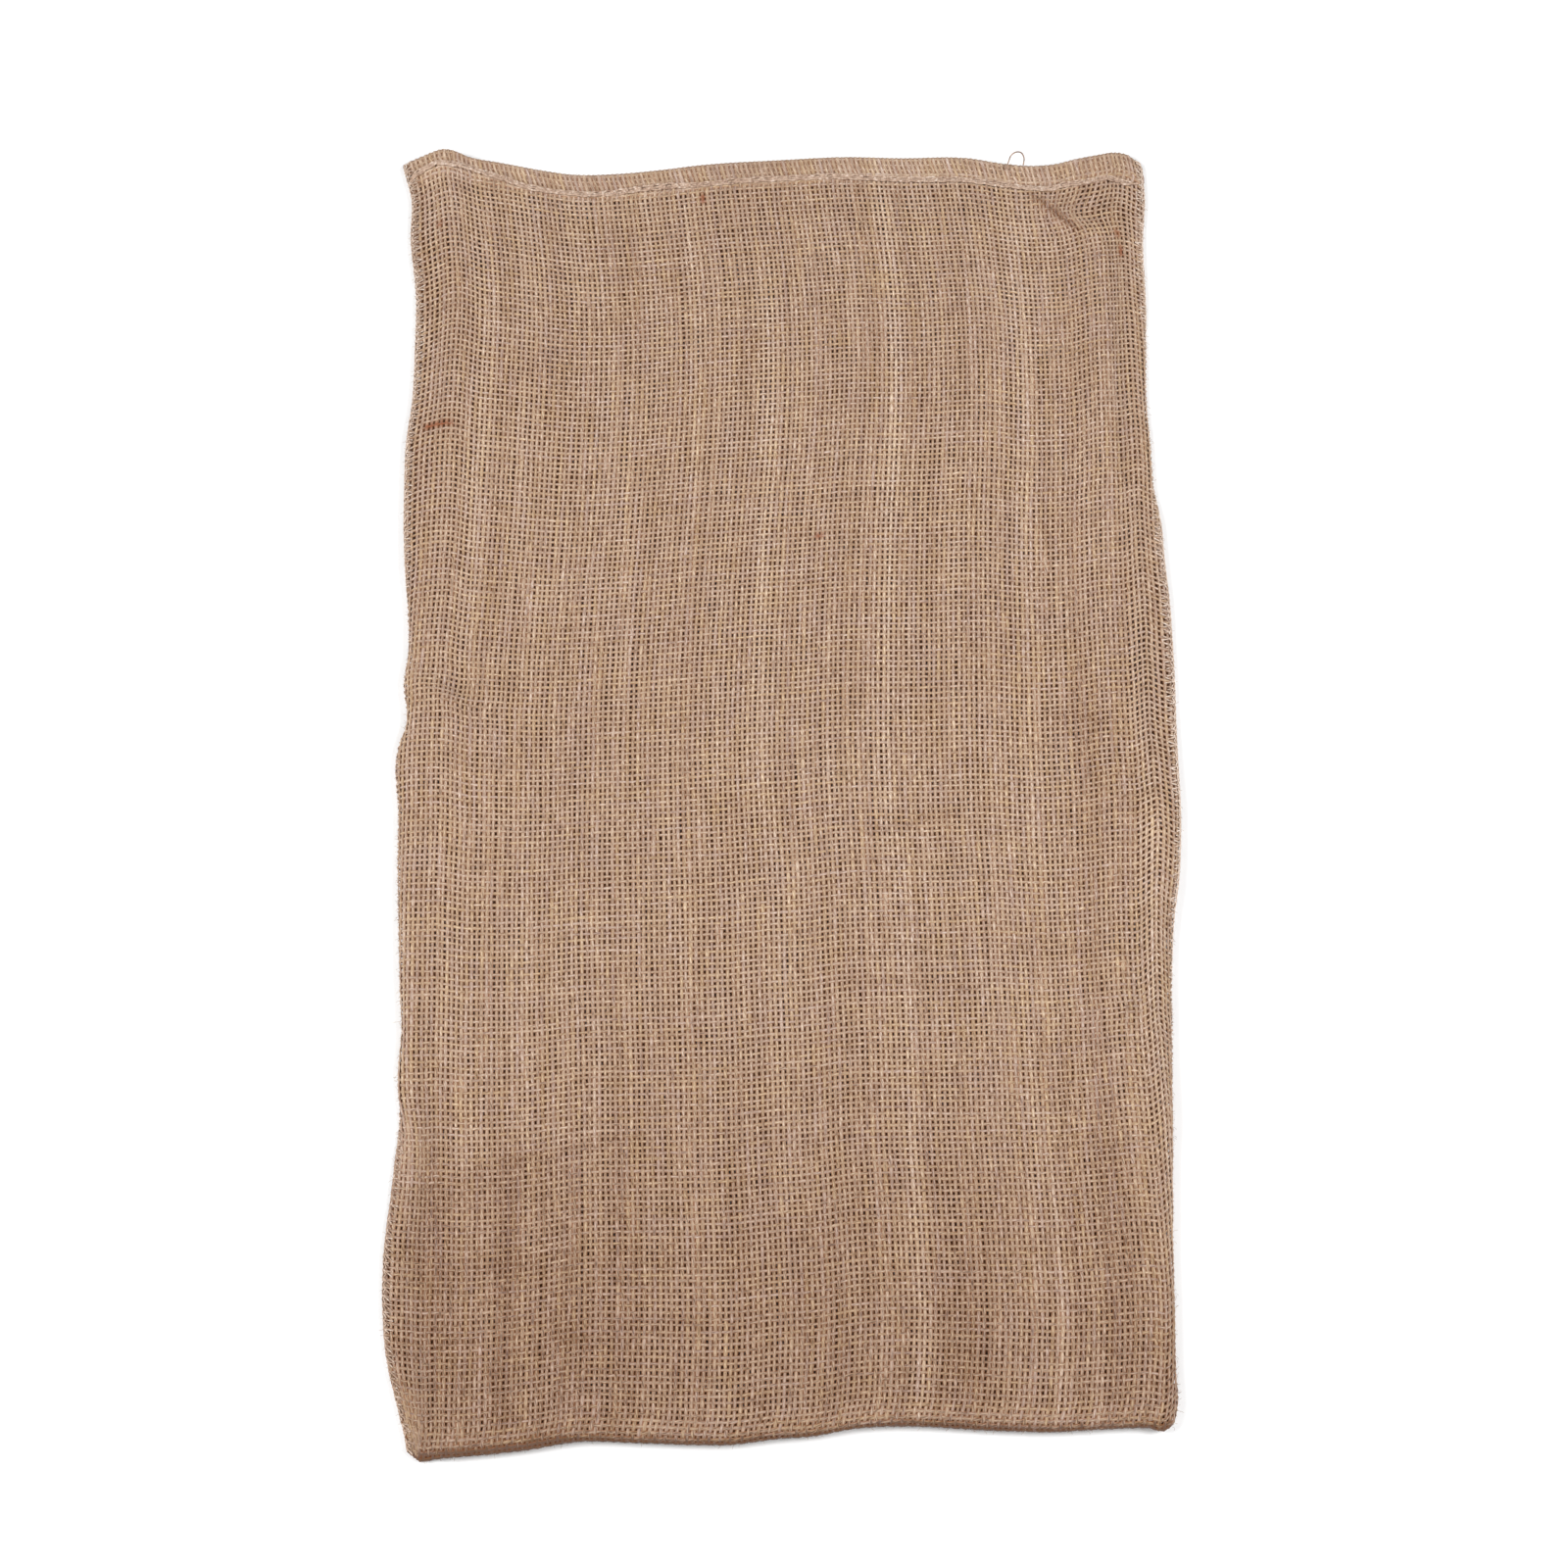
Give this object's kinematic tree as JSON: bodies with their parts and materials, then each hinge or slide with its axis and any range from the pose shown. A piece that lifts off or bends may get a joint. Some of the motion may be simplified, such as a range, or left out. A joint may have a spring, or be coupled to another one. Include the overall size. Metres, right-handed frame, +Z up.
{
  "type": "jute sack",
  "caption": "Empty jute sack lying flat: a length of hessian folded across at the bottom, seamed up both sides and hemmed round the open mouth.",
  "frame": {"origin": "centre of the lying sack's footprint, on the surface it rests on", "axes": "+X across the sack to its right side, +Y from the bottom fold towards the mouth, +Z up"},
  "size_m": [0.6028, 1.0166, 0.0177],
  "materials": {
    "jute_hessian": "matte, coarse open plain weave"
  },
  "bodies": {
    "root": {"sack_cloth": "jute_hessian"}
  },
  "joints": []
}
